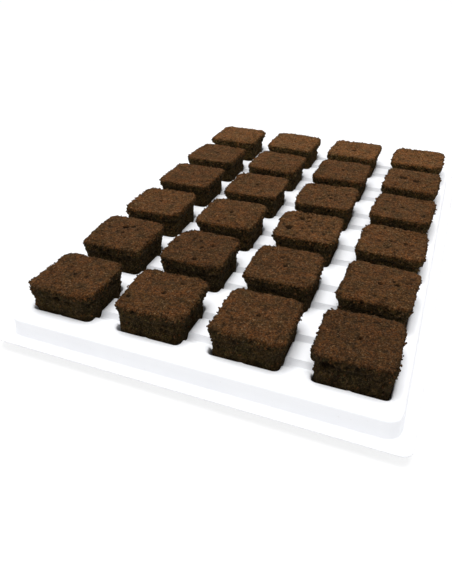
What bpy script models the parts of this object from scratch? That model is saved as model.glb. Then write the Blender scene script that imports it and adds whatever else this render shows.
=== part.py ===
"""Plug tray: one thin formed sheet with 24 pockets, and the 24 growing plugs that stand in them.

Metres, +Z up. +X runs along a row of pockets, +Y runs from row 1 to row 6.
The origin is the middle of the footprint, on the plane that the pocket floors stand on.
"""
import math

import bmesh
import bpy

# Grid of pockets
COLUMNS = 4
ROWS = 6
PITCH_X = 0.0472
PITCH_Y = 0.0460

# Formed sheet
SHEET = 0.0008
POCKET_DEPTH = 0.0157
DECK_HALF_X = 0.0934
DECK_HALF_Y = 0.1426
DECK_CORNER = 0.0065
DECK_EDGE_ROUND = 0.0012
SKIRT_HEIGHT = 0.0097
SKIRT_SPREAD = 0.00075
FLANGE_REACH = 0.0065
FLANGE_CORNER = 0.0050

# Plug, and the clearance that its pocket leaves around it
PLUG_PROUD = 0.0146
PLUG_HALF_AT_DECK = 0.0166
PLUG_TAPER = 0.056
PLUG_CORNER = 0.0036
PLUG_EDGE_ROUND = 0.0012
PILOT_RADIUS = 0.0010
PILOT_DEPTH = 0.0080
PILOT_SIDES = 6
FIT_GAP = 0.00035

# Pocket
POCKET_CORNER = 0.0028
POCKET_FLOOR_ROUND = 0.0014
POCKET_FLARE = 0.0005

# Channels that join neighbouring pockets along a row
CHANNEL_OFFSET = 0.0088
CHANNEL_HALF_TOP = 0.0028
CHANNEL_HALF_FLOOR = 0.0021
CHANNEL_DEPTH = 0.0030

# Levels
POCKET_FLOOR = SHEET
DECK_TOP = POCKET_FLOOR + POCKET_DEPTH
FLANGE_TOP = DECK_TOP - SKIRT_HEIGHT
PLUG_FOOT = POCKET_FLOOR + FIT_GAP
PLUG_TOP = DECK_TOP + PLUG_PROUD

# Depth of the forming block below the standing plane, and how far cutters pass the faces they cut
FORMER_FOOT = -0.0030
OVERCUT = 0.0020


def remove_old_objects():
    for old in list(bpy.data.objects):
        bpy.data.objects.remove(old, do_unlink=True)


def new_collection(name):
    collection = bpy.data.collections.new(name)
    bpy.context.scene.collection.children.link(collection)
    return collection


def principled(name, color, roughness):
    material = bpy.data.materials.new(name)
    material.use_nodes = True
    shader = material.node_tree.nodes["Principled BSDF"]
    shader.inputs["Base Color"].default_value = (*color, 1.0)
    shader.inputs["Roughness"].default_value = roughness
    shader.inputs["Metallic"].default_value = 0.0
    return material


def object_from(name, mesh, collection, material=None):
    piece = bpy.data.objects.new(name, mesh)
    collection.objects.link(piece)
    if material is not None:
        mesh.materials.append(material)
    return piece


def mesh_from(name, shape):
    mesh = bpy.data.meshes.new(name)
    shape.normal_update()
    shape.to_mesh(mesh)
    shape.free()
    return mesh


def hide_cutter(cutter):
    cutter.hide_render = True
    cutter.display_type = "WIRE"


def column_x(column):
    return (column - (COLUMNS - 1) / 2) * PITCH_X


def row_y(row):
    return (row - (ROWS - 1) / 2) * PITCH_Y


def edges_where(shape, test):
    return [edge for edge in shape.edges if test(edge.verts[0].co, edge.verts[1].co)]


def round_edges(shape, edges, radius, segments):
    bmesh.ops.bevel(shape, geom=edges, offset=radius, offset_type="OFFSET", segments=segments,
                    profile=0.5, affect="EDGES", clamp_overlap=True)


def rounded_block(half_x, half_y, low, high, corner, segments):
    """An upright block with its four standing edges rounded."""
    shape = bmesh.new()
    bmesh.ops.create_cube(shape, size=1.0)
    for vert in shape.verts:
        vert.co.x *= 2 * half_x
        vert.co.y *= 2 * half_y
        vert.co.z = low if vert.co.z < 0 else high
    standing = edges_where(shape, lambda a, b: abs(a.z - b.z) > (high - low) / 2)
    round_edges(shape, standing, corner, segments)
    return shape


def slice_at(shape, level):
    """Cut a ring of edges around the block at this level."""
    bmesh.ops.bisect_plane(shape, geom=shape.verts[:] + shape.edges[:] + shape.faces[:],
                           dist=1e-6, plane_co=(0, 0, level), plane_no=(0, 0, 1))


def lean_walls(shape, reference_half, half_at):
    """Move every vertex in or out, so that the block's half width at each level is half_at(level)."""
    for vert in shape.verts:
        step = half_at(vert.co.z) - reference_half
        vert.co.x += step * math.copysign(1.0, vert.co.x)
        vert.co.y += step * math.copysign(1.0, vert.co.y)


def plug_half(level):
    return PLUG_HALF_AT_DECK + PLUG_TAPER * (level - DECK_TOP)


def pocket_half(level):
    """The pocket's wall runs parallel to the plug, and flares at its mouth."""
    mouth = POCKET_FLARE if level >= DECK_TOP - 1e-7 else 0.0
    return plug_half(level) + FIT_GAP + mouth


def pocket_cutter_shape():
    shape = rounded_block(PLUG_HALF_AT_DECK, PLUG_HALF_AT_DECK, POCKET_FLOOR, DECK_TOP + OVERCUT,
                          POCKET_CORNER, 3)
    slice_at(shape, DECK_TOP)
    slice_at(shape, DECK_TOP - POCKET_FLARE)
    lean_walls(shape, PLUG_HALF_AT_DECK, pocket_half)
    floor_ring = edges_where(shape, lambda a, b: max(a.z, b.z) < POCKET_FLOOR + 1e-6)
    round_edges(shape, floor_ring, POCKET_FLOOR_ROUND, 1)
    return shape


def pocket_cutters(collection):
    single = mesh_from("pocket_single", pocket_cutter_shape())
    together = bmesh.new()
    for row in range(ROWS):
        for column in range(COLUMNS):
            start = len(together.verts)
            together.from_mesh(single)
            together.verts.ensure_lookup_table()
            for vert in together.verts[start:]:
                vert.co.x += column_x(column)
                vert.co.y += row_y(row)
    bpy.data.meshes.remove(single)
    cutter = object_from("pocket_cutters", mesh_from("pocket_cutters", together), collection)
    hide_cutter(cutter)
    return cutter


def channel_cutters(collection):
    """Long tapered bars, from the first column's pockets to the last column's."""
    together = bmesh.new()
    half_length = column_x(COLUMNS - 1)
    channel_floor = DECK_TOP - CHANNEL_DEPTH
    lean = (CHANNEL_HALF_TOP - CHANNEL_HALF_FLOOR) / CHANNEL_DEPTH
    half_above = CHANNEL_HALF_TOP + lean * OVERCUT
    for row in range(ROWS):
        for side in (-1, 1):
            middle = row_y(row) + side * CHANNEL_OFFSET
            bar = bmesh.ops.create_cube(together, size=1.0)["verts"]
            for vert in bar:
                is_floor = vert.co.z < 0
                half = CHANNEL_HALF_FLOOR if is_floor else half_above
                vert.co.x = math.copysign(half_length, vert.co.x)
                vert.co.y = middle + math.copysign(half, vert.co.y)
                vert.co.z = channel_floor if is_floor else DECK_TOP + OVERCUT
    cutter = object_from("channel_cutters", mesh_from("channel_cutters", together), collection)
    hide_cutter(cutter)
    return cutter


def skirt_block(collection):
    """The raised middle of the forming block: steep skirt, rounded corners and a rounded top edge."""
    foot_half_x = DECK_HALF_X + SKIRT_SPREAD
    foot_half_y = DECK_HALF_Y + SKIRT_SPREAD
    shape = rounded_block(foot_half_x, foot_half_y, FLANGE_TOP - OVERCUT, DECK_TOP, DECK_CORNER, 4)
    slice_at(shape, FLANGE_TOP)
    for vert in shape.verts:
        rise = max(0.0, vert.co.z - FLANGE_TOP) / SKIRT_HEIGHT
        vert.co.x -= math.copysign(SKIRT_SPREAD * rise, vert.co.x)
        vert.co.y -= math.copysign(SKIRT_SPREAD * rise, vert.co.y)
    top_ring = edges_where(shape, lambda a, b: min(a.z, b.z) > DECK_TOP - 1e-6)
    round_edges(shape, top_ring, DECK_EDGE_ROUND, 2)
    block = object_from("skirt_block", mesh_from("skirt_block", shape), collection)
    hide_cutter(block)
    return block


def add_boolean(piece, other, operation):
    modifier = piece.modifiers.new(operation.lower(), "BOOLEAN")
    modifier.object = other
    modifier.operation = operation


def forming_block(cutters):
    """The solid that the sheet is drawn over. Its upper skin becomes the sheet."""
    shape = rounded_block(DECK_HALF_X + FLANGE_REACH, DECK_HALF_Y + FLANGE_REACH,
                          FORMER_FOOT, FLANGE_TOP, FLANGE_CORNER, 4)
    block = object_from("forming_block", mesh_from("forming_block", shape), cutters)
    hide_cutter(block)
    add_boolean(block, skirt_block(cutters), "UNION")
    add_boolean(block, pocket_cutters(cutters), "DIFFERENCE")
    add_boolean(block, channel_cutters(cutters), "DIFFERENCE")
    return block


def is_block_side(face):
    """True for the forming block's underside and its outer sides, which the sheet doesn't cover."""
    if max(vert.co.z for vert in face.verts) < POCKET_FLOOR - 1e-5:
        return True
    reaches_foot = min(vert.co.z for vert in face.verts) < FORMER_FOOT + 1e-5
    return reaches_foot


def build_tray(parts, cutters):
    block = forming_block(cutters)
    bpy.context.view_layer.update()
    evaluated = block.evaluated_get(bpy.context.evaluated_depsgraph_get())
    skin = bmesh.new()
    skin.from_mesh(evaluated.to_mesh())
    evaluated.to_mesh_clear()
    uncovered = [face for face in skin.faces if is_block_side(face)]
    bmesh.ops.delete(skin, geom=uncovered, context="FACES")
    bmesh.ops.remove_doubles(skin, verts=skin.verts[:], dist=2e-6)
    white = principled("white_sheet", (0.86, 0.87, 0.89), 0.32)
    tray = object_from("tray", mesh_from("tray", skin), parts, white)
    thickness = tray.modifiers.new("sheet_thickness", "SOLIDIFY")
    thickness.thickness = SHEET
    thickness.offset = -1.0
    thickness.use_even_offset = True
    tray.data.shade_smooth()
    tray.data.set_sharp_from_angle(angle=math.radians(30))
    return tray


def plug_mesh():
    """A square plug, wider at the top, with rounded corners and a small hole in the top."""
    shape = rounded_block(PLUG_HALF_AT_DECK, PLUG_HALF_AT_DECK, PLUG_FOOT, PLUG_TOP, PLUG_CORNER, 3)
    lean_walls(shape, PLUG_HALF_AT_DECK, plug_half)
    for vert in shape.verts:
        vert.co.z -= PLUG_FOOT
    height = PLUG_TOP - PLUG_FOOT
    rims = edges_where(shape, lambda a, b: min(a.z, b.z) > height - 1e-6 or max(a.z, b.z) < 1e-6)
    round_edges(shape, rims, PLUG_EDGE_ROUND, 1)
    top = max(shape.faces, key=lambda face: face.calc_center_median().z)
    sink_pilot_hole(shape, top, height)
    return mesh_from("plug", shape)


def sink_pilot_hole(shape, top, height):
    """Fan the top face around a small six-sided hole, and sink that hole."""
    rim = list(top.verts)
    bmesh.ops.delete(shape, geom=[top], context="FACES_ONLY")
    turns = [2 * math.pi * side / PILOT_SIDES for side in range(PILOT_SIDES)]
    mouth = [shape.verts.new((PILOT_RADIUS * math.cos(turn), PILOT_RADIUS * math.sin(turn), height))
             for turn in turns]
    mouth_edges = [shape.edges.new((mouth[side], mouth[(side + 1) % PILOT_SIDES]))
                   for side in range(PILOT_SIDES)]
    rim_edges = [edge for edge in shape.edges if edge.is_boundary and edge.verts[0] in rim]
    bmesh.ops.triangle_fill(shape, edges=rim_edges + mouth_edges, use_beauty=True)
    walls = bmesh.ops.extrude_edge_only(shape, edges=mouth_edges)["geom"]
    deep = [item for item in walls if isinstance(item, bmesh.types.BMVert)]
    for vert in deep:
        vert.co.z -= PILOT_DEPTH
    floor_edges = [edge for edge in shape.edges if edge.verts[0] in deep and edge.verts[1] in deep]
    bmesh.ops.contextual_create(shape, geom=floor_edges)
    bmesh.ops.recalc_face_normals(shape, faces=shape.faces[:])


def build_plugs(parts):
    brown = principled("pressed_peat", (0.060, 0.034, 0.020), 0.95)
    shared = plug_mesh()
    shared.materials.append(brown)
    shared.shade_smooth()
    shared.set_sharp_from_angle(angle=math.radians(35))
    for row in range(ROWS):
        for column in range(COLUMNS):
            plug = object_from(f"plug_r{row + 1}_c{column + 1}", shared, parts)
            plug.location = (column_x(column), row_y(row), PLUG_FOOT)


def main():
    remove_old_objects()
    parts = new_collection("plug_tray")
    cutters = new_collection("forming_tools")
    build_tray(parts, cutters)
    build_plugs(parts)


main()
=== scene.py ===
import math

import bmesh
import bpy
import numpy as np
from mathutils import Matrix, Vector


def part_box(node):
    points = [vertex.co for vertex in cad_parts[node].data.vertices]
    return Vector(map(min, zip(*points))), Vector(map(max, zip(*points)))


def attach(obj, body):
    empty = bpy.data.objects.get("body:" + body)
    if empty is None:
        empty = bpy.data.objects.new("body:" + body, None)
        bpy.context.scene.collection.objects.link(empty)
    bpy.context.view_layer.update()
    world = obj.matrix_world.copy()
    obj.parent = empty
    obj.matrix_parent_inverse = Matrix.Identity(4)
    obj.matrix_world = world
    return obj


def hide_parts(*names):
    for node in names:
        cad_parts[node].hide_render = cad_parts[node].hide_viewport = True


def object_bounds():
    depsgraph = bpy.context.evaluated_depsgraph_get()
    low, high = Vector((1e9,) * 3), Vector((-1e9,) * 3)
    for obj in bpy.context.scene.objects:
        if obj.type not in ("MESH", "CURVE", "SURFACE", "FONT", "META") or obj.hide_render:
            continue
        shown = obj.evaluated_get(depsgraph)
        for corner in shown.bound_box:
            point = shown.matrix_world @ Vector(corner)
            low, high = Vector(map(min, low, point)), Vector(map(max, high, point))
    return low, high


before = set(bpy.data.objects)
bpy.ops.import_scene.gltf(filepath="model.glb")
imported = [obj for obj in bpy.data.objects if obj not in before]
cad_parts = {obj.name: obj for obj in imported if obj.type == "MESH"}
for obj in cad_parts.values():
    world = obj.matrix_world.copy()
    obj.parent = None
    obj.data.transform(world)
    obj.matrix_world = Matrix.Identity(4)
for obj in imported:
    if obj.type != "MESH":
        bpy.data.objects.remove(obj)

# The plug tray's looks: a white formed sheet, and 24 plugs of pressed peat. Metres, +Z up.
CAD_LOW, CAD_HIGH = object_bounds()

# Grid
COLUMNS = 4
ROWS = 6
PITCH_X = 0.0472
PITCH_Y = 0.0460

# Levels, read from the frame
TRAY_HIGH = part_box("tray")[1]
PLUG_LOW, PLUG_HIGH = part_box("plug_r1_c1")
DECK = TRAY_HIGH.z
PLUG_TOP = PLUG_HIGH.z
PLUG_FOOT = PLUG_LOW.z
PROUD = PLUG_TOP - DECK

# Formed sheet
SHEET = 0.0008
FLOOR_LEVEL = SHEET
FLANGE_LEVEL = DECK - 0.0097
FLANGE_HALF_X = TRAY_HIGH.x
FLANGE_HALF_Y = TRAY_HIGH.y
FLANGE_REACH = 0.0065
DECK_HALF_X = FLANGE_HALF_X - FLANGE_REACH
DECK_HALF_Y = FLANGE_HALF_Y - FLANGE_REACH
DECK_CORNER = 0.0065
FLANGE_CORNER = 0.0050
DECK_ROUND = 0.0012
DECK_MARGIN = 0.0008
SKIRT_SPREAD = 0.00075
SKIRT_FOOT_ROUND = 0.0008

# Pocket
POCKET_CORE = 0.0137
POCKET_HALF_AT_DECK = 0.0168
WALL_LEAN = 0.056
RIM_HEIGHT = 0.0008
RIM_SIDE = 0.0013
RIM_FRONT = 0.0005
FLOOR_ROUND = 0.0014
RIB_HEIGHT = 0.00045
RIB_HALF_WIDTH = 0.0020
RIB_FADE = 0.003
CELL_OUTER_X = 0.0190
CELL_OUTER_Y = 0.0240

# Channels between neighbouring pockets of a row
CHANNEL_OFFSET = 0.0088
CHANNEL_FLOOR_HALF = 0.0020
CHANNEL_MOUTH_HALF = 0.0029
CHANNEL_DEPTH = 0.0030
CHANNEL_START = 0.0145
CHANNEL_FULL = 0.0152

# Plug; most of them sit a little to the right and back in their pockets
SIT_RIGHT = {"plug_r1_c3": 0.00034, "plug_r1_c4": 0.0}
USUAL_SIT_RIGHT = 0.00020
SIT_BACK = 0.00016
PLUG_HALF_AT_DECK = 0.0166
PLUG_TAPER = 0.056
HEADROOM = 0.0006
FOOT_CORNER = 0.0046
LEAST_CORNER = 0.001
PILOT_HALF = 0.0007
PILOT_EDGE = 0.0013
TOP_STEPS = 84
PROUD_RINGS = 34
SUNK_RINGS = 9
TOP_EDGE_ROUND = 0.0014
FOOT_ROUND = 0.0013
SEED = 20240


# ---------------------------------------------------------------- noise

def lattice(ix, iy, iz, seed):
    """A repeatable random number from 0 to 1 for each lattice point."""
    n = (ix.astype(np.int64) * 374761393 + iy.astype(np.int64) * 668265263
         + iz.astype(np.int64) * 1442695041 + seed * 1274126177) & 0xFFFFFFFF
    n = ((n ^ (n >> 13)) * 1103515245) & 0xFFFFFFFF
    n = ((n ^ (n >> 16)) * 2246822519) & 0xFFFFFFFF
    n = n ^ (n >> 15)
    return (n & 0xFFFFFF) / float(0xFFFFFF)


def smooth_noise(points, size, seed):
    """Soft noise from -1 to 1, with features about size across."""
    p = points / size
    base = np.floor(p).astype(np.int64)
    f = p - base
    f = f * f * (3 - 2 * f)
    total = np.zeros(len(points))
    for dx in (0, 1):
        for dy in (0, 1):
            for dz in (0, 1):
                weight = (np.where(dx, f[:, 0], 1 - f[:, 0]) * np.where(dy, f[:, 1], 1 - f[:, 1])
                          * np.where(dz, f[:, 2], 1 - f[:, 2]))
                total += weight * lattice(base[:, 0] + dx, base[:, 1] + dy, base[:, 2] + dz, seed)
    return total * 2 - 1


def layered_noise(points, size, seed, layers):
    total = np.zeros(len(points))
    strength = 1.0
    for layer in range(layers):
        total += strength * smooth_noise(points, size / 2 ** layer, seed + 17 * layer)
        strength *= 0.55
    return total


def cell_noise(points, size, seed):
    """Distance to the nearest scattered point, in cells, and a random number for that point."""
    p = points / size
    base = np.floor(p).astype(np.int64)
    nearest = np.full(len(points), 9.0)
    chosen = np.zeros(len(points))
    for dx in (-1, 0, 1):
        for dy in (-1, 0, 1):
            for dz in (-1, 0, 1):
                ix, iy, iz = base[:, 0] + dx, base[:, 1] + dy, base[:, 2] + dz
                spot = np.stack([ix + lattice(ix, iy, iz, seed), iy + lattice(ix, iy, iz, seed + 1),
                                 iz + lattice(ix, iy, iz, seed + 2)], axis=1)
                distance = np.linalg.norm(spot - p, axis=1)
                closer = distance < nearest
                nearest = np.where(closer, distance, nearest)
                chosen = np.where(closer, lattice(ix, iy, iz, seed + 3), chosen)
    return nearest, chosen


def ramp(value, low, high):
    """0 below low, 1 above high, smooth between."""
    t = np.clip((value - low) / (high - low), 0.0, 1.0)
    return t * t * (3 - 2 * t)


# ---------------------------------------------------------------- mesh helpers

def new_object(name, verts, faces, material, smooth=True):
    mesh = bpy.data.meshes.new(name)
    mesh.from_pydata(np.asarray(verts).tolist(), [], faces)
    mesh.update()
    if smooth:
        mesh.shade_smooth()
    piece = bpy.data.objects.new(name, mesh)
    bpy.context.scene.collection.objects.link(piece)
    mesh.materials.append(material)
    return piece


def strip_faces(start_a, start_b, count):
    """Quads between two closed rings of count vertices each."""
    faces = []
    for k in range(count):
        n = (k + 1) % count
        faces.append((start_a + k, start_a + n, start_b + n, start_b + k))
    return faces


def reach(origin, heading, half_x, half_y, corner):
    """How far it is from each origin, along heading, to a rounded rectangle's outline."""
    ox, oy = np.abs(origin[:, 0]), np.abs(origin[:, 1])
    dx, dy = np.abs(heading[:, 0]), np.abs(heading[:, 1])
    to_side = np.where(dx > 1e-9, (half_x - ox) / np.maximum(dx, 1e-9), 1e9)
    to_end = np.where(dy > 1e-9, (half_y - oy) / np.maximum(dy, 1e-9), 1e9)
    distance = np.minimum(to_side, to_end)
    cx, cy = half_x - corner, half_y - corner
    hit_x, hit_y = ox + dx * distance, oy + dy * distance
    in_corner = (hit_x > cx) & (hit_y > cy)
    rx, ry = ox - cx, oy - cy
    b = rx * dx + ry * dy
    c = rx * rx + ry * ry - corner * corner
    on_arc = -b + np.sqrt(np.maximum(b * b - c, 0.0))
    return np.where(in_corner, on_arc, distance)


# ---------------------------------------------------------------- tray

SIDE_STEPS_Y = 34
SIDE_STEPS_X = 18
FAN_STEPS = 6
OUTLINE_FAN_STEPS = 14
WELD_DISTANCE = 2e-6
SHARP_ANGLE = math.radians(50)


def ring_headings():
    """Start points on the pocket's core square and headings out from it, once round counterclockwise."""
    starts, headings = [], []
    corners = ((1, -1), (1, 1), (-1, 1), (-1, -1))
    for side, (sx, sy) in enumerate(corners):
        steps = SIDE_STEPS_Y if side % 2 == 0 else SIDE_STEPS_X
        nx, ny = corners[(side + 1) % 4]
        out = ((1, 0), (0, 1), (-1, 0), (0, -1))[side]
        for k in range(steps):
            t = k / steps
            starts.append((POCKET_CORE * (sx + (nx - sx) * t), POCKET_CORE * (sy + (ny - sy) * t)))
            headings.append(out)
        turn_from = math.atan2(out[1], out[0])
        for k in range(FAN_STEPS):
            turn = turn_from + (math.pi / 2) * k / FAN_STEPS
            starts.append((POCKET_CORE * nx, POCKET_CORE * ny))
            headings.append((math.cos(turn), math.sin(turn)))
    return np.array(starts), np.array(headings)


def cell_edge_points(starts, headings, left, right, front, back):
    """The ring on the cell's rectangular border. Fan points are spread evenly along it."""
    points = starts.copy()
    along_x = np.abs(headings[:, 0]) > 0.999
    points[:, 0] = np.where(along_x, np.where(headings[:, 0] > 0, right, -left), points[:, 0])
    along_y = np.abs(headings[:, 1]) > 0.999
    points[:, 1] = np.where(along_y, np.where(headings[:, 1] > 0, back, -front), points[:, 1])
    for k, (hx, hy) in enumerate(headings):
        if along_x[k] or along_y[k]:
            continue
        edge_x = right if hx > 0 else left
        edge_y = back if hy > 0 else front
        turn = math.atan2(abs(hy), abs(hx)) / (math.pi / 2)
        if turn <= 0.5:
            x, y = edge_x, POCKET_CORE + (edge_y - POCKET_CORE) * 2 * turn
        else:
            x, y = POCKET_CORE + (edge_x - POCKET_CORE) * 2 * (1 - turn), edge_y
        points[k] = (math.copysign(x, hx), math.copysign(y, hy))
    return points


def channel_drop(x, y, inner_left, inner_right):
    """How far the deck is sunk at a point of the cell, for the channels to the next pockets."""
    across = np.abs(np.abs(y) - CHANNEL_OFFSET)
    depth = CHANNEL_DEPTH * (1 - ramp(across, CHANNEL_FLOOR_HALF, CHANNEL_MOUTH_HALF))
    open_side = np.where(x > 0, inner_right, inner_left)
    beside = ramp(np.abs(x), CHANNEL_START, CHANNEL_FULL)
    return depth * open_side * beside


def pocket_profile():
    """(half width, half depth, level) from the pocket's floor to its rim, which opens more at the sides."""
    floor_half = POCKET_HALF_AT_DECK - WALL_LEAN * (DECK - FLOOR_LEVEL)
    flat_half = floor_half - FLOOR_ROUND
    profile = [(flat_half, flat_half, FLOOR_LEVEL)]
    for k in range(1, 4):
        turn = (math.pi / 2) * k / 3
        half = flat_half + FLOOR_ROUND * math.sin(turn)
        profile.append((half, half, FLOOR_LEVEL + FLOOR_ROUND * (1 - math.cos(turn))))
    wall_low = FLOOR_LEVEL + FLOOR_ROUND
    wall_high = DECK - RIM_HEIGHT
    for share in (0.35, 0.75, 1.0):
        level = wall_low + (wall_high - wall_low) * share
        half = POCKET_HALF_AT_DECK - WALL_LEAN * (DECK - level)
        profile.append((half, half, level))
    for k in range(1, 4):
        turn = (math.pi / 2) * k / 3
        spread = 1 - math.cos(turn)
        half_x = POCKET_HALF_AT_DECK + RIM_SIDE * spread
        half_y = POCKET_HALF_AT_DECK + RIM_FRONT * spread
        profile.append((half_x, half_y, wall_high + RIM_HEIGHT * math.sin(turn)))
    return profile


def cell_rings(column, row):
    """All rings of one cell, from the pocket floor's middle to the cell's border."""
    starts, headings = ring_headings()
    inner_left, inner_right = column > 0, column < COLUMNS - 1
    left = PITCH_X / 2 if inner_left else CELL_OUTER_X
    right = PITCH_X / 2 if inner_right else CELL_OUTER_X
    front = PITCH_Y / 2 if row > 0 else CELL_OUTER_Y
    back = PITCH_Y / 2 if row < ROWS - 1 else CELL_OUTER_Y
    rings = []
    for share in (0.0, 0.5):
        flat = pocket_profile()[0][0] * share
        points = starts * (flat / POCKET_CORE)
        rings.append(np.column_stack([points, np.full(len(points), FLOOR_LEVEL)]))
    for half_x, half_y, level in pocket_profile():
        extent = reach(starts, headings, half_x, half_y, min(half_x, half_y) - POCKET_CORE)
        points = starts + headings * extent[:, None]
        on_rib = (headings[:, 1] < -0.999) & (np.abs(points[:, 0]) < RIB_HALF_WIDTH)
        rib = RIB_HEIGHT * np.cos(np.pi / 2 * points[:, 0] / RIB_HALF_WIDTH) ** 2
        rib = np.where(on_rib, rib, 0.0) * ramp(np.array([level]), FLOOR_LEVEL, FLOOR_LEVEL + RIB_FADE)
        points[:, 1] += rib
        rings.append(np.column_stack([points, np.full(len(points), level)]))
    rim = rings[-1][:, :2]
    border = cell_edge_points(starts, headings, left, right, front, back)
    for share in (0.4, 1.0):
        points = rim + (border - rim) * share
        rings.append(np.column_stack([points, np.full(len(points), DECK)]))
    for ring in rings:
        sunk = DECK - channel_drop(ring[:, 0], ring[:, 1], inner_left, inner_right)
        ring[:, 2] = np.minimum(ring[:, 2], np.maximum(sunk, FLOOR_LEVEL))
        ring[:, 0] += (column - (COLUMNS - 1) / 2) * PITCH_X
        ring[:, 1] += (row - (ROWS - 1) / 2) * PITCH_Y
    return rings


def outline_start(cells):
    """The border of all cells together, once round counterclockwise, its corners repeated as fans."""
    half_x = (COLUMNS - 1) / 2 * PITCH_X + CELL_OUTER_X
    half_y = (ROWS - 1) / 2 * PITCH_Y + CELL_OUTER_Y
    points = np.vstack([rings[-1][:, :2] for rings in cells])
    points = np.unique(np.round(points, 8), axis=0)
    tolerance = 1e-6
    right = points[np.abs(points[:, 0] - half_x) < tolerance]
    left = points[np.abs(points[:, 0] + half_x) < tolerance]
    front = points[np.abs(points[:, 1] + half_y) < tolerance]
    back = points[np.abs(points[:, 1] - half_y) < tolerance]
    runs = (
        (right[np.argsort(right[:, 1])], (1, 0)),
        (back[np.argsort(-back[:, 0])], (0, 1)),
        (left[np.argsort(-left[:, 1])], (-1, 0)),
        (front[np.argsort(front[:, 0])], (0, -1)),
    )
    starts, headings = [], []
    for run, out in runs:
        for point in run[:-1]:
            starts.append(point)
            headings.append(out)
        turn_from = math.atan2(out[1], out[0])
        for k in range(OUTLINE_FAN_STEPS):
            turn = turn_from + (math.pi / 2) * k / OUTLINE_FAN_STEPS
            starts.append(run[-1])
            headings.append((math.cos(turn), math.sin(turn)))
    return np.array(starts), np.array(headings)


def edge_profile():
    """(distance out from the deck's edge, level, corner radius) over deck edge, skirt and flange."""
    inset = DECK_ROUND + DECK_MARGIN
    profile = [(-inset, DECK, DECK_CORNER - inset)]
    for k in range(0, 5):
        turn = (math.pi / 2) * k / 4
        inset = DECK_ROUND * (1 - math.sin(turn))
        profile.append((-inset, DECK - DECK_ROUND * (1 - math.cos(turn)), DECK_CORNER - inset))
    skirt_high = DECK - DECK_ROUND
    skirt_low = FLANGE_LEVEL + SKIRT_FOOT_ROUND
    for share in (0.5, 1.0):
        profile.append((SKIRT_SPREAD * share, skirt_high + (skirt_low - skirt_high) * share,
                        DECK_CORNER + SKIRT_SPREAD * share))
    foot = SKIRT_SPREAD + SKIRT_FOOT_ROUND
    foot_corner = DECK_CORNER + foot
    for k in range(1, 4):
        turn = (math.pi / 2) * k / 3
        out = SKIRT_SPREAD + SKIRT_FOOT_ROUND * (1 - math.cos(turn))
        profile.append((out, skirt_low - SKIRT_FOOT_ROUND * math.sin(turn), DECK_CORNER + out))
    for share in (0.5, 1.0):
        corner = foot_corner + (FLANGE_CORNER - foot_corner) * share
        profile.append((foot + (FLANGE_REACH - foot) * share, FLANGE_LEVEL, corner))
    return profile


def build_tray(material):
    verts, faces, cells = [], [], []
    count = 0
    for row in range(ROWS):
        for column in range(COLUMNS):
            rings = cell_rings(column, row)
            cells.append(rings)
            size = len(rings[0])
            for k in range(len(rings) - 1):
                faces += strip_faces(count + k * size, count + (k + 1) * size, size)
            verts += rings
            count += len(rings) * size
    starts, headings = outline_start(cells)
    size = len(starts)
    verts.append(np.column_stack([starts, np.full(size, DECK)]))
    for k, (out, level, corner) in enumerate(edge_profile()):
        extent = reach(starts, headings, DECK_HALF_X + out, DECK_HALF_Y + out, corner)
        points = starts + headings * extent[:, None]
        verts.append(np.column_stack([points, np.full(size, level)]))
        faces += strip_faces(count + k * size, count + (k + 1) * size, size)
    tray = new_object("tray_sheet", np.vstack(verts), faces, material)
    weld_and_face_up(tray.data)
    thickness = tray.modifiers.new("sheet_thickness", "SOLIDIFY")
    thickness.thickness = SHEET
    thickness.offset = -1.0
    tray.data.set_sharp_from_angle(angle=SHARP_ANGLE)
    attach(tray, "tray")
    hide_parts("tray")


def weld_and_face_up(mesh):
    shape = bmesh.new()
    shape.from_mesh(mesh)
    bmesh.ops.remove_doubles(shape, verts=shape.verts[:], dist=WELD_DISTANCE)
    bmesh.ops.recalc_face_normals(shape, faces=shape.faces[:])
    shape.faces.ensure_lookup_table()
    if sum(face.normal.z * face.calc_area() for face in shape.faces) < 0:
        bmesh.ops.reverse_faces(shape, faces=shape.faces[:])
    shape.to_mesh(mesh)
    shape.free()
    mesh.shade_smooth()


# ---------------------------------------------------------------- plugs

def top_grid():
    """Unit square grid for the top, and the order of its border vertices, counterclockwise."""
    n = TOP_STEPS
    line = np.linspace(-1, 1, n)
    gx, gy = np.meshgrid(line, line)
    grid = np.column_stack([gx.ravel(), gy.ravel()])
    faces = []
    for j in range(n - 1):
        for i in range(n - 1):
            a = j * n + i
            faces.append((a, a + 1, a + n + 1, a + n))
    border = list(range(n - 1))
    border += [j * n + n - 1 for j in range(n - 1)]
    border += [(n - 1) * n + i for i in range(n - 1, 0, -1)]
    border += [j * n for j in range(n - 1, 0, -1)]
    return grid, faces, border


def rounded_square(points, half, corner):
    """Pulls a unit square's points in, more towards its border, so that the border has round corners."""
    ring = np.maximum(np.abs(points[:, 0]), np.abs(points[:, 1]))
    safe = np.maximum(ring, 1e-6)
    on_border = points / safe[:, None]
    turn_core = half - corner
    x, y = on_border[:, 0] * half, on_border[:, 1] * half
    ox, oy = np.abs(x) - turn_core, np.abs(y) - turn_core
    in_corner = (ox > 0) & (oy > 0)
    length = np.maximum(np.hypot(ox, oy), 1e-9)
    rounded_x = np.where(in_corner, np.sign(x) * (turn_core + corner * ox / length), x)
    rounded_y = np.where(in_corner, np.sign(y) * (turn_core + corner * oy / length), y)
    pull = ring ** 4
    out_x = points[:, 0] * half * (1 - pull) + rounded_x * ring * pull
    out_y = points[:, 1] * half * (1 - pull) + rounded_y * ring * pull
    return np.column_stack([out_x, out_y])


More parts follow.
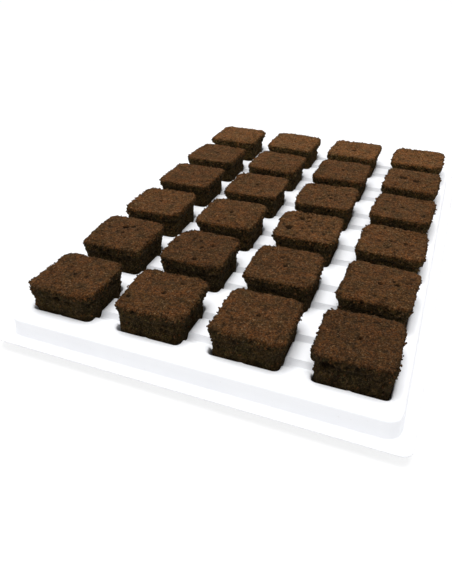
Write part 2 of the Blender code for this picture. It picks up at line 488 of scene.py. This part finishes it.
def plug_rings():
    """(inset from the half width, level below the top) for the rings from the top's border to the foot."""
    rings = []
    for k in range(1, 6):
        turn = (math.pi / 2) * k / 5
        rings.append((TOP_EDGE_ROUND * (1 - math.sin(turn)), TOP_EDGE_ROUND * (1 - math.cos(turn))))
    below = DECK - PLUG_FOOT
    for k in range(1, PROUD_RINGS + 1):
        rings.append((0.0, TOP_EDGE_ROUND + (PROUD - TOP_EDGE_ROUND) * k / PROUD_RINGS))
    for k in range(1, SUNK_RINGS + 1):
        rings.append((0.0, PROUD + (below - FOOT_ROUND) * k / SUNK_RINGS))
    for k in range(1, 4):
        turn = (math.pi / 2) * k / 3
        down = PROUD + below - FOOT_ROUND * (1 - math.sin(turn))
        rings.append((FOOT_ROUND * (1 - math.cos(turn)), down))
    return rings


def plug_base(name, rng):
    """The smooth plug about its own middle. Its top is at z = 0, and the rest is below."""
    grid, faces, border = top_grid()
    top_corner = TOP_CORNERS.get(name, rng.uniform(0.0040, 0.0062))

    def half_at(below_top):
        return PLUG_HALF_AT_DECK + PLUG_TAPER * (PROUD - below_top)

    def corner_at(below_top):
        return FOOT_CORNER + (top_corner - FOOT_CORNER) * min(max(1 - below_top / PROUD, 0.0), 1.0)

    top = rounded_square(grid, half_at(0.0) - TOP_EDGE_ROUND, corner_at(0.0) - TOP_EDGE_ROUND)
    size = len(border)
    rings = []
    for inset, down in plug_rings():
        corner = max(corner_at(down) - inset, LEAST_CORNER)
        ring = rounded_square(grid[border], half_at(down) - inset, corner)
        rings.append(np.column_stack([ring, np.full(size, -down)]))
    foot = rings[-1]
    for share in (0.75, 0.45, 0.15):
        rings.append(foot * (share, share, 1.0))
    previous = list(border)
    for number in range(len(rings)):
        first = len(top) + number * size
        current = list(range(first, first + size))
        for k in range(size):
            n = (k + 1) % size
            faces.append((previous[n], previous[k], current[k], current[n]))
        previous = current
    faces.append(tuple(reversed(previous)))
    return np.vstack([np.column_stack([top, np.zeros(len(top))])] + rings), faces


def base_normals(verts, faces):
    mesh = bpy.data.meshes.new("normals")
    mesh.from_pydata(verts.tolist(), [], faces)
    normals = np.zeros(len(verts) * 3, dtype=np.float32)
    mesh.vertices.foreach_get("normal", normals)
    bpy.data.meshes.remove(mesh)
    return normals.reshape(-1, 3).astype(float)


# Plugs whose top shows its pilot hole clearly, and how deep it looks
PILOT_DEPTHS = {"plug_r1_c2": 0.0030, "plug_r1_c4": 0.0050, "plug_r2_c3": 0.0035, "plug_r2_c4": 0.0025}
PILOT_DEPTH = 0.0016
DAMPER = {"plug_r1_c4": -0.35, "plug_r2_c2": -0.20, "plug_r4_c4": -0.20}
# The largest holes: right of the plug's middle, back from it, below its top, radius, depth; in metres
BIG_PITS = {
    "plug_r1_c1": ((-0.0010, -0.0172, 0.0052, 0.0019, 0.0018), (0.0050, -0.0172, 0.0060, 0.0012, 0.0010),
                   (0.0105, 0.0095, 0.0, 0.0011, 0.0010)),
    "plug_r1_c2": ((-0.0140, -0.0080, 0.0, 0.0013, 0.0012), (0.0060, 0.0100, 0.0, 0.0012, 0.0012)),
    "plug_r1_c4": ((-0.0110, -0.0172, 0.0050, 0.0026, 0.0022), (-0.0080, -0.0172, 0.0046, 0.0016, 0.0014)),
    "plug_r2_c1": ((-0.0020, 0.0060, 0.0, 0.0024, 0.0018), (0.0015, 0.0075, 0.0, 0.0015, 0.0012)),
    "plug_r2_c2": ((0.0060, 0.0035, 0.0, 0.0019, 0.0016), (0.0020, -0.0125, 0.0, 0.0017, 0.0016),
                   (-0.0070, 0.0080, 0.0, 0.0012, 0.0011)),
    "plug_r2_c4": ((0.0080, 0.0020, 0.0, 0.0016, 0.0012), (0.0058, 0.0042, 0.0, 0.0010, 0.0010)),
    "plug_r3_c3": ((-0.0103, -0.0050, 0.0, 0.0024, 0.0024), (-0.0059, 0.0085, 0.0, 0.0022, 0.0020),
                   (-0.0015, 0.0110, 0.0, 0.0013, 0.0012)),
    "plug_r3_c4": ((0.0070, -0.0010, 0.0, 0.0014, 0.0012),),
    "plug_r4_c3": ((0.0030, -0.0040, 0.0, 0.0015, 0.0012),),
    "plug_r5_c4": ((-0.0060, 0.0020, 0.0, 0.0030, 0.0014), (0.0030, -0.0010, 0.0, 0.0026, 0.0012)),
    "plug_r6_c3": ((0.0, -0.0030, 0.0, 0.0018, 0.0010),),
}
# How far the tops of the plugs lean right and back, in metres
USUAL_LEAN = np.array([0.00010, 0.00045])
LEANS = {"plug_r1_c3": np.array([0.00094, 0.0009]), "plug_r1_c4": np.array([-0.0005, 0.0012]),
         "plug_r1_c1": np.array([0.0006, -0.0002]), "plug_r1_c2": np.array([0.0004, 0.0003]),
         "plug_r6_c3": np.array([0.0003, 0.0008])}
# How dry the plugs of each row look, with a painted sheen that makes the back rows paler; a dry plug is
# paler
ROW_DRYNESS_AND_SHEEN = (0.45, 0.60, 0.96, 0.90, 0.98, 2.15)
# Plugs whose top corners are plainly sharper or rounder than usual
TOP_CORNERS = {"plug_r1_c4": 0.0042, "plug_r1_c2": 0.0060, "plug_r1_c3": 0.0048, "plug_r1_c1": 0.0062}
# Plugs with a coarse, broken top, and how much of it is pitted
PITTED_TOPS = {"plug_r2_c1": 0.30, "plug_r2_c2": 0.34, "plug_r3_c3": 0.30, "plug_r3_c4": 0.28,
               "plug_r4_c3": 0.26, "plug_r5_c4": 0.26}
PITTED_TOP = 0.10
# Width of the surface's features, from the widest swell to the finest roughness
SWELL_SIZE = 0.013
LUMP_SIZE = 0.0042
WIDE_PIT_SIZE = 0.0034
CLUMP_SIZE = 0.0029
SMALL_PIT_SIZE = 0.0018
GRAIN_SIZE = 0.0015
FINE_SIZE = 0.0010
# How far below the top the overhanging upper edge ends
LIP_LEVEL = 0.0052
CREASES_PER_SIDE = 2
CRUMBS = 560
FIBRES = 90


def lumps_and_grains(sample, warp, upness, seed):
    """Height of the lumps, of the coarse grains and of the finest roughness, each on its own."""
    lump = 0.00048 * (1 - 0.35 * upness) * layered_noise(sample, LUMP_SIZE, seed + 5, 2)
    clump_gap, clump_pick = cell_noise(sample, CLUMP_SIZE, seed + 7)
    lump += 0.00050 * (clump_pick - 0.5) * (1 - clump_gap) - 0.00030 * ramp(clump_gap, 0.50, 0.80)
    grain_gap, grain_pick = cell_noise(sample + warp, GRAIN_SIZE, seed + 11)
    grain = 0.00078 * (np.sqrt(np.clip(1 - grain_gap ** 2, 0, 1)) - 0.6) * (0.25 + 1.0 * grain_pick)
    fine = 0.00034 * layered_noise(sample, FINE_SIZE, seed + 23, 2)
    return lump, grain, fine


def scattered_pits(name, sample, upness, sideness, seed):
    """The scattered pits: how far inside a wide and a small one each point is, and the depth of both."""
    wide_gap, wide_pick = cell_noise(sample, WIDE_PIT_SIZE, seed + 31)
    share = PITTED_TOPS.get(name, PITTED_TOP) * upness + 0.34 * sideness
    wide = (wide_pick < share) * (1 - ramp(wide_gap, 0.12, 0.46))
    small_gap, small_pick = cell_noise(sample, SMALL_PIT_SIZE, seed + 41)
    small = (small_pick < 0.26 + 0.30 * sideness) * (1 - ramp(small_gap, 0.10, 0.42))
    depth = 0.0012 * wide * (0.6 + 0.9 * wide_pick) + (0.0006 + 0.0002 * sideness) * small
    return wide, small, depth


def undercut(sample, down, sideness, seed):
    """The step under the plug's overhanging upper edge: how deep it is, and the crack along its top."""
    lip_level = LIP_LEVEL + 0.0014 * smooth_noise(sample * (1, 1, 0.2), 0.009, seed + 51)
    around = 0.5 + 0.5 * smooth_noise(sample * (1, 1, 0.1), 0.012, seed + 61)
    fade = 1 - 0.6 * ramp(down, 0.009, 0.013)
    below_lip = ramp(down, lip_level, lip_level + 0.0012) * sideness * fade
    crack = np.exp(-((down - lip_level - 0.0004) / 0.0009) ** 2) * sideness * (0.3 + 0.7 * around)
    return below_lip * (0.0006 + 0.0010 * around), crack


def rough_surface(name, verts, normals, seed, rng):
    """Displaced vertices, and painted shade from 0 to 1 for pits, low spots, the crack under the lip, the
    pilot hole and the big holes.
    """
    down = -verts[:, 2]
    upness = np.clip(normals[:, 2], 0, 1)
    sideness = 1 - np.abs(normals[:, 2])
    seen = 1 - ramp(down, PROUD - 0.001, PROUD + 0.002)
    sample = verts + rng.uniform(0, 1, 3)
    warp = 0.0005 * np.column_stack([smooth_noise(sample, 0.0016, seed + axis) for axis in (71, 72, 73)])
    swell = 0.00025 * (1 - ramp(down, 0.006, 0.012)) + 0.00045 * layered_noise(sample, SWELL_SIZE, seed, 2)
    lump, grain, fine = lumps_and_grains(sample, warp, upness, seed)
    wide, small, depth = scattered_pits(name, sample + warp, upness, sideness, seed)
    hollow, hollow_shade = big_pits(name, verts + warp)
    step, crack = undercut(sample, down, sideness, seed)
    offset = swell + lump + grain + fine - depth - hollow - step
    offset -= creases(verts, down, sideness, rng)
    offset -= 0.0008 * crack
    moved = verts + normals * (offset * (0.12 + 0.88 * seen))[:, None]
    hole_x, hole_y = rng.uniform(-0.0010, 0.0010, 2)
    hole = np.hypot(verts[:, 0] - hole_x, verts[:, 1] - hole_y)
    sunk = (1 - ramp(hole, PILOT_HALF, PILOT_EDGE)) * (down < 0.0002)
    moved[:, 2] -= sunk * PILOT_DEPTHS.get(name, PILOT_DEPTH)
    # Painted shade: low spots, pits, the crack under the lip, the pilot hole and the big holes are darkened
    # in the colour
    low = np.clip(-(grain + fine + lump) / 0.0006, 0, 1)
    painted_recess_shade = 0.85 * wide + 0.55 * small + 0.95 * crack * seen + 0.60 * low + 1.4 * sunk + hollow_shade
    return moved, np.clip(painted_recess_shade, 0, 1)


def big_pits(name, points):
    """Depth of the plug's largest holes, and the painted shade in them."""
    depth = np.zeros(len(points))
    shade = np.zeros(len(points))
    for x, y, below_top, radius, deep in BIG_PITS.get(name, ()):
        distance = np.linalg.norm(points - (x, y, -below_top), axis=1)
        inside = 1 - ramp(distance, 0.45 * radius, 1.15 * radius)
        depth += 1.35 * deep * inside
        shade += 1.2 * inside
    return depth, shade


def creases(verts, down, sideness, rng):
    """Upright folds pressed into the sides, each fading out towards the top."""
    depth = np.zeros(len(verts))
    for axis in (0, 1):
        for side in (-1, 1):
            for _ in range(CREASES_PER_SIDE):
                along = rng.uniform(-0.014, 0.014)
                deep = rng.uniform(0.0003, 0.0010)
                width = rng.uniform(0.0005, 0.0010)
                wander = 0.0012 * np.sin(down / 0.0035 + rng.uniform(0, 6))
                facing = (verts[:, axis] * side > 0.013).astype(float)
                groove = np.exp(-((verts[:, 1 - axis] - along - wander) / width) ** 2)
                depth += deep * groove * facing * sideness * ramp(down, 0.0030, 0.0070)
    return depth


def settle(name, verts, rng):
    """Leans, turns and bows the plug's proud part a little, and keeps its foot inside the pocket."""
    height = np.clip((verts[:, 2] + PROUD) / PROUD, 0, 1)
    turn = math.radians(rng.uniform(-2.2, 2.2)) * (0.35 + 0.65 * height)
    x = verts[:, 0] * np.cos(turn) - verts[:, 1] * np.sin(turn)
    y = verts[:, 0] * np.sin(turn) + verts[:, 1] * np.cos(turn)
    lean_x, lean_y = rng.uniform(-0.00045, 0.00045, 2) + LEANS.get(name, USUAL_LEAN)
    x = x + lean_x * height
    y = y + lean_y * height
    tilt_x, tilt_y = np.radians(rng.uniform(-1.3, 1.3, 2))
    sag = rng.uniform(0.0001, 0.0006)
    depth_share = np.clip(-verts[:, 2] / PROUD, 0, 1)
    snug = 1 - 0.022 * ramp(depth_share, 0.45, 1.0)
    x = x * snug + SIT_RIGHT.get(name, USUAL_SIT_RIGHT)
    y = y * snug + SIT_BACK
    radius = np.hypot(verts[:, 0], verts[:, 1]) / 0.0235
    z = verts[:, 2] + height * (x * math.tan(tilt_y) + y * math.tan(tilt_x) - sag * radius ** 2)
    return np.column_stack([x, y, z])


def crumb_shape():
    """A small twenty-sided lump."""
    g = (1 + math.sqrt(5)) / 2
    verts = np.array([(-1, g, 0), (1, g, 0), (-1, -g, 0), (1, -g, 0), (0, -1, g), (0, 1, g),
                      (0, -1, -g), (0, 1, -g), (g, 0, -1), (g, 0, 1), (-g, 0, -1), (-g, 0, 1)])
    faces = [(0, 11, 5), (0, 5, 1), (0, 1, 7), (0, 7, 10), (0, 10, 11), (1, 5, 9), (5, 11, 4),
             (11, 10, 2), (10, 7, 6), (7, 1, 8), (3, 9, 4), (3, 4, 2), (3, 2, 6), (3, 6, 8),
             (3, 8, 9), (4, 9, 5), (2, 4, 11), (6, 2, 10), (8, 6, 7), (9, 8, 1)]
    return verts / math.hypot(1, g), faces


def crumbs(verts, normals, weights, amount, rng):
    """Loose grains bedded in the surface, more of them where weights are high."""
    shape, shape_faces = crumb_shape()
    picks = rng.choice(len(verts), size=amount, p=weights / weights.sum())
    size = 0.00018 + 0.00050 * rng.random(amount) ** 2
    stretch = rng.uniform(0.6, 1.4, (amount, 1, 3))
    knobs = rng.uniform(0.75, 1.25, (amount, 12, 1))
    lumps = shape[None] * stretch * knobs * size[:, None, None]
    spin = rng.uniform(0, 2 * math.pi, (amount, 1))
    turned = lumps.copy()
    turned[:, :, 0] = lumps[:, :, 0] * np.cos(spin) - lumps[:, :, 2] * np.sin(spin)
    turned[:, :, 2] = lumps[:, :, 0] * np.sin(spin) + lumps[:, :, 2] * np.cos(spin)
    centres = verts[picks] + normals[picks] * (size * rng.uniform(-0.1, 0.8, amount))[:, None]
    turned += centres[:, None, :]
    faces = [tuple(v + number * 12 for v in face) for number in range(amount) for face in shape_faces]
    tones = np.repeat(rng.random(amount), 12)
    return turned.reshape(-1, 3), faces, tones


def fibres(verts, normals, weights, amount, rng):
    """Thin three-sided strands that lie on the surface, with ends that lift off it."""
    picks = rng.choice(len(verts), size=amount, p=weights / weights.sum())
    out_verts, out_faces, tones = [], [], []
    count = 0
    steps = 5
    for pick in picks:
        normal = normals[pick] / np.linalg.norm(normals[pick])
        along = np.cross(normal, rng.normal(size=3))
        along /= np.linalg.norm(along)
        side = np.cross(normal, along)
        length = rng.uniform(0.0012, 0.0042)
        radius = rng.uniform(0.00005, 0.00011)
        bend = rng.uniform(-0.5, 0.5) * length
        lift = rng.uniform(-0.2, 0.5) * length * 0.5
        tone = rng.random()
        for k in range(steps + 1):
            t = k / steps
            middle = (verts[pick] + along * length * (t - 0.4) + side * bend * t * t
                      + normal * (lift * t * t + radius))
            for corner in range(3):
                turn = 2 * math.pi * corner / 3
                width = radius * (1 - 0.6 * t)
                out_verts.append(middle + width * (side * math.cos(turn) + normal * math.sin(turn)))
            tones += [tone] * 3
        for k in range(steps):
            for corner in range(3):
                a, b = count + 3 * k + corner, count + 3 * k + (corner + 1) % 3
                out_faces.append((a, a + 3, b + 3, b))
        last = count + 3 * steps
        out_faces.append((count, count + 1, count + 2))
        out_faces.append((last + 2, last + 1, last))
        count += 3 * (steps + 1)
    return np.array(out_verts), out_faces, np.array(tones)


def build_plug(row, column, number, material):
    name = f"plug_r{row + 1}_c{column + 1}"
    rng = np.random.default_rng(SEED + number)
    low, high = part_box(name)
    verts, faces = plug_base(name, rng)
    normals = base_normals(verts, faces)
    rough, painted_recess_shade = rough_surface(name, verts, normals, SEED + 101 * number, rng)
    rough = settle(name, rough, rng)
    new_normals = base_normals(rough, faces)
    down = -verts[:, 2]
    edge = np.exp(-((down - 0.0008) / 0.0016) ** 2) * (np.abs(normals[:, 2]) < 0.97)
    weights = (down < PROUD - 0.001) * (0.22 + 2.2 * edge)
    crumb_verts, crumb_faces, crumb_tones = crumbs(rough, new_normals, weights, CRUMBS, rng)
    strand_verts, strand_faces, strand_tones = fibres(rough, new_normals, weights, FIBRES, rng)
    all_verts = np.vstack([rough, crumb_verts, strand_verts])
    first = len(rough)
    second = first + len(crumb_verts)
    all_faces = list(faces)
    all_faces += [tuple(v + first for v in face) for face in crumb_faces]
    all_faces += [tuple(v + second for v in face) for face in strand_faces]
    world = all_verts + np.array([(low.x + high.x) / 2, (low.y + high.y) / 2, PLUG_TOP])
    level = world[:, 2]
    over = np.maximum(level - (PLUG_TOP - HEADROOM), 0.0)
    level = np.where(over > 0, PLUG_TOP - HEADROOM * np.exp(-over / HEADROOM), level)
    world[:, 2] = np.maximum(level, PLUG_FOOT + 0.00005)
    plug = new_object(name.replace("plug", "peat_plug"), world, all_faces, material)
    # Paleness: the plug's own dryness, plus the painted sheen of its row
    dryness_and_sheen = ROW_DRYNESS_AND_SHEEN[row] + rng.uniform(-0.12, 0.12) + DAMPER.get(name, 0.0)
    store_shades(plug.data, painted_recess_shade, normals, crumb_tones, strand_tones, dryness_and_sheen)
    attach(plug, name)
    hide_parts(name)


def store_shades(mesh, painted_recess_shade, normals, crumb_tones, strand_tones, dryness_and_sheen):
    """Vertex colours for the material: painted recess shade, how much it faces up, loose-grain tone, and
    dryness with painted sheen.
    """
    total = len(mesh.vertices)
    shades = np.zeros((total, 4))
    body = len(painted_recess_shade)
    shades[:body, 0] = painted_recess_shade
    shades[:body, 1] = np.clip(normals[:, 2], 0, 1)
    shades[body:, 1] = 0.6
    shades[:body, 2] = 0.5
    shades[body:body + len(crumb_tones), 2] = crumb_tones
    shades[body + len(crumb_tones):, 2] = strand_tones
    shades[:, 3] = dryness_and_sheen
    layer = mesh.color_attributes.new("shades", "FLOAT_COLOR", "POINT")
    layer.data.foreach_set("color", shades.ravel())


# ---------------------------------------------------------------- materials

class Nodes:
    """Short calls for building one material's nodes."""

    def __init__(self, name):
        self.material = bpy.data.materials.new(name)
        self.material.use_nodes = True
        self.tree = self.material.node_tree
        self.shader = self.tree.nodes["Principled BSDF"]
        self.place = self.add("ShaderNodeTexCoord").outputs["Object"]

    def add(self, kind, **settings):
        node = self.tree.nodes.new(kind)
        for key, value in settings.items():
            setattr(node, key, value)
        return node

    def link(self, source, target):
        self.tree.links.new(source, target)

    def noise(self, size, detail=3.0, roughness=0.55):
        node = self.add("ShaderNodeTexNoise")
        node.inputs["Scale"].default_value = 1.0 / size
        node.inputs["Detail"].default_value = detail
        node.inputs["Roughness"].default_value = roughness
        self.link(self.place, node.inputs["Vector"])
        return node.outputs["Fac"]

    def grains(self, size, output="Color"):
        node = self.add("ShaderNodeTexVoronoi")
        node.inputs["Scale"].default_value = 1.0 / size
        self.link(self.place, node.inputs["Vector"])
        return node.outputs[output]

    def blend_map(self, source, stops):
        node = self.add("ShaderNodeValToRGB")
        elements = node.color_ramp.elements
        while len(elements) < len(stops):
            elements.new(0.5)
        for element, (position, color) in zip(elements, stops):
            element.position = position
            element.color = (*color, 1.0)
        self.link(source, node.inputs["Fac"])
        return node.outputs["Color"]

    def mix(self, factor, first, second, blend="MIX"):
        node = self.add("ShaderNodeMix", data_type="RGBA", blend_type=blend)
        sockets = (node.inputs[0], node.inputs[6], node.inputs[7])
        for socket, value in zip(sockets, (factor, first, second)):
            if isinstance(value, bpy.types.NodeSocket):
                self.link(value, socket)
            elif isinstance(value, tuple):
                socket.default_value = (*value, 1.0)
            else:
                socket.default_value = value
        return node.outputs[2]

    def math(self, operation, first, second=0.5, third=None):
        node = self.add("ShaderNodeMath", operation=operation)
        for socket, value in zip(node.inputs, (first, second, third)):
            if value is None:
                continue
            if isinstance(value, bpy.types.NodeSocket):
                self.link(value, socket)
            else:
                socket.default_value = value
        return node.outputs[0]

    def gray(self, value):
        node = self.add("ShaderNodeCombineColor")
        for channel in ("Red", "Green", "Blue"):
            self.link(value, node.inputs[channel])
        return node.outputs["Color"]

    def bump(self, height, strength, distance, under=None):
        node = self.add("ShaderNodeBump")
        node.inputs["Strength"].default_value = strength
        node.inputs["Distance"].default_value = distance
        self.link(height, node.inputs["Height"])
        if under is not None:
            self.link(under, node.inputs["Normal"])
        return node.outputs["Normal"]


def peat_material():
    """Pressed peat: dark, fibrous and granular, with lighter grains; painted shade darkens its pits, pores
    and sides, and a painted sheen makes the back rows paler.
    """
    n = Nodes("pressed_peat_detail")
    shades = n.add("ShaderNodeAttribute", attribute_name="shades")
    parts = n.add("ShaderNodeSeparateColor")
    n.link(shades.outputs["Color"], parts.inputs["Color"])
    painted_recess_shade, facing_up, loose = parts.outputs["Red"], parts.outputs["Green"], parts.outputs["Blue"]
    soil = n.blend_map(n.noise(0.0009, 6.0, 0.75), [
        (0.35, (0.007, 0.0030, 0.0010)), (0.44, (0.044, 0.0185, 0.0052)),
        (0.54, (0.082, 0.0365, 0.0118)), (0.74, (0.140, 0.073, 0.031))])
    tint = n.blend_map(n.noise(0.0065, 3.0), [
        (0.32, (0.66, 0.78, 0.76)), (0.50, (1.0, 1.0, 1.0)), (0.68, (1.18, 1.04, 0.96))])
    color = n.mix(1.0, soil, tint, "MULTIPLY")
    patches = n.blend_map(n.noise(0.0026, 2.0), [
        (0.36, (0.68, 0.70, 0.72)), (0.50, (1.0, 1.0, 1.0)), (0.64, (1.16, 1.13, 1.09))])
    color = n.mix(1.0, color, patches, "MULTIPLY")
    picked = n.add("ShaderNodeSeparateColor")
    n.link(n.grains(0.0005), picked.inputs["Color"])
    light_grain = n.math("GREATER_THAN", picked.outputs["Red"], 0.975)
    color = n.mix(n.math("MULTIPLY", light_grain, 0.45), color, (0.27, 0.185, 0.105))
    # Painted shade: scattered tiny pores are mixed towards near-black
    painted_pore_shade = n.math("LESS_THAN", picked.outputs["Green"], 0.26)
    color = n.mix(n.math("MULTIPLY", painted_pore_shade, 0.70), color, (0.010, 0.005, 0.002))
    loose_tone = n.blend_map(loose, [
        (0.0, (0.45, 0.42, 0.40)), (0.5, (1.0, 1.0, 1.0)), (1.0, (1.25, 1.22, 1.15))])
    color = n.mix(1.0, color, loose_tone, "MULTIPLY")
    # Painted shade: faces that do not face up are darkened; their olive hue is the peat's own
    side_shade_and_tone = n.blend_map(facing_up, [(0.0, (0.37, 0.50, 0.36)), (0.75, (0.92, 0.84, 0.73))])
    color = n.mix(1.0, color, side_shade_and_tone, "MULTIPLY")
    side_speck = n.math("MULTIPLY", n.math("GREATER_THAN", picked.outputs["Blue"], 0.88), 0.38)
    color = n.mix(side_speck, color, (0.105, 0.066, 0.036))
    # Paler where drier; the back rows' extra paleness is a painted sheen
    dryness_and_sheen = n.math("MULTIPLY_ADD", shades.outputs["Alpha"], 0.5, 0.75)
    color = n.mix(1.0, color, n.gray(dryness_and_sheen), "MULTIPLY")
    # Painted shade: recesses are mixed towards near-black
    color = n.mix(n.math("MULTIPLY", painted_recess_shade, 0.85), color, (0.005, 0.003, 0.0012))
    n.link(color, n.shader.inputs["Base Color"])
    rough = n.add("ShaderNodeMapRange")
    rough.inputs["To Min"].default_value = 0.78
    rough.inputs["To Max"].default_value = 1.0
    n.link(n.noise(0.002, 2.0), rough.inputs["Value"])
    n.link(rough.outputs["Result"], n.shader.inputs["Roughness"])
    n.shader.inputs["Specular IOR Level"].default_value = 0.035
    n.shader.inputs["Sheen Weight"].default_value = 0.025
    n.shader.inputs["Sheen Roughness"].default_value = 0.7
    n.shader.inputs["Sheen Tint"].default_value = (1.0, 0.72, 0.46, 1.0)
    coarse = n.bump(n.noise(0.0010, 5.0, 0.7), 0.9, 0.0009)
    grit = n.bump(n.grains(0.0006, "Distance"), 0.6, 0.0004, coarse)
    n.link(grit, n.shader.inputs["Normal"])
    return n.material


def sheet_material():
    """White formed plastic: soft sheen, faint mottling in its gloss, and slight ripples from forming."""
    n = Nodes("white_sheet_detail")
    mottle = n.blend_map(n.noise(0.030, 3.0), [(0.3, (0.785, 0.79, 0.81)), (0.7, (0.81, 0.815, 0.83))])
    speck = n.blend_map(n.noise(0.0016, 2.0), [(0.20, (0.93, 0.92, 0.90)), (0.30, (1.0, 1.0, 1.0))])
    n.link(n.mix(1.0, mottle, speck, "MULTIPLY"), n.shader.inputs["Base Color"])
    gloss = n.add("ShaderNodeMapRange")
    gloss.inputs["To Min"].default_value = 0.26
    gloss.inputs["To Max"].default_value = 0.44
    n.link(n.noise(0.012, 4.0), gloss.inputs["Value"])
    n.link(gloss.outputs["Result"], n.shader.inputs["Roughness"])
    n.shader.inputs["IOR"].default_value = 1.49
    n.shader.inputs["Subsurface Weight"].default_value = 0.2
    n.shader.inputs["Subsurface Radius"].default_value = (1.0, 1.0, 1.0)
    n.shader.inputs["Subsurface Scale"].default_value = 0.0010
    ripple = n.bump(n.noise(0.016, 2.0), 0.10, 0.0006)
    peel = n.bump(n.noise(0.0009, 2.0), 0.06, 0.0001, ripple)
    n.link(peel, n.shader.inputs["Normal"])
    return n.material


def floor_material():
    """A pale floor that gives off most of its brightness itself, so that shadows on it stay faint."""
    n = Nodes("pale_floor")
    tone = n.blend_map(n.noise(0.35, 3.0), [(0.3, (0.22, 0.22, 0.225)), (0.7, (0.24, 0.24, 0.24))])
    n.link(tone, n.shader.inputs["Base Color"])
    n.shader.inputs["Roughness"].default_value = 0.75
    n.shader.inputs["Emission Color"].default_value = (1.0, 1.0, 1.0, 1.0)
    n.shader.inputs["Emission Strength"].default_value = 0.72
    grain = n.bump(n.noise(0.004, 3.0), 0.04, 0.0002)
    n.link(grain, n.shader.inputs["Normal"])
    return n.material


# ---------------------------------------------------------------- stage, light and camera

FLOOR_HALF = 3.0
FLOOR_Z = -0.0001
LAMP_PLACE = Vector((-0.05, -0.14, 1.50))
LAMP_SIZE = 0.9
LAMP_WATTS = 22.5
WORLD_STRENGTH = 0.80


def build_floor():
    signs = ((-1, -1), (1, -1), (1, 1), (-1, 1))
    corners = [(x * FLOOR_HALF, y * FLOOR_HALF, FLOOR_Z) for x, y in signs]
    floor = new_object("floor", np.array(corners), [(0, 1, 2, 3)], floor_material(), smooth=False)


def area_light(name, place, aim, size, power):
    data = bpy.data.lights.new(name, "AREA")
    data.shape = "SQUARE"
    data.size = size
    data.energy = power
    lamp = bpy.data.objects.new(name, data)
    bpy.context.scene.collection.objects.link(lamp)
    lamp.location = place
    lamp.rotation_euler = (aim - lamp.location).to_track_quat("-Z", "Y").to_euler()


def light_scene(centre):
    area_light("overhead_softbox", LAMP_PLACE, centre, LAMP_SIZE, LAMP_WATTS)
    world = bpy.data.worlds.new("studio")
    world.use_nodes = True
    backdrop = world.node_tree.nodes["Background"]
    backdrop.inputs["Color"].default_value = (0.985, 0.99, 1.0, 1.0)
    backdrop.inputs["Strength"].default_value = WORLD_STRENGTH
    bpy.context.scene.world = world
    bpy.context.scene.view_settings.view_transform = "Standard"
    bpy.context.scene.view_settings.look = "None"


# The camera looks at a point on the deck, a little to the left of the tray's middle line
AZIMUTH = math.radians(21.79)
ELEVATION = math.radians(33.96)
LENS_MM = 34.08
AIM_X = -0.0029
AIM_Y = -0.0832
DISTANCE = 0.2866


def build_camera():
    aim = Vector((AIM_X, AIM_Y, DECK))
    level = math.cos(ELEVATION)
    back = Vector((math.sin(AZIMUTH) * level, -math.cos(AZIMUTH) * level, math.sin(ELEVATION)))
    data = bpy.data.cameras.new("camera")
    data.lens = LENS_MM
    data.sensor_width = 36.0
    data.clip_start = 0.01
    camera = bpy.data.objects.new("camera", data)
    bpy.context.scene.collection.objects.link(camera)
    camera.location = aim + back * DISTANCE
    camera.rotation_euler = (math.pi / 2 - ELEVATION, 0.0, AZIMUTH)
    bpy.context.scene.camera = camera


def main():
    build_camera()
    build_floor()
    light_scene((CAD_LOW + CAD_HIGH) / 2)
    build_tray(sheet_material())
    peat = peat_material()
    number = 0
    for row in range(ROWS):
        for column in range(COLUMNS):
            number += 1
            build_plug(row, column, number, peat)


main()
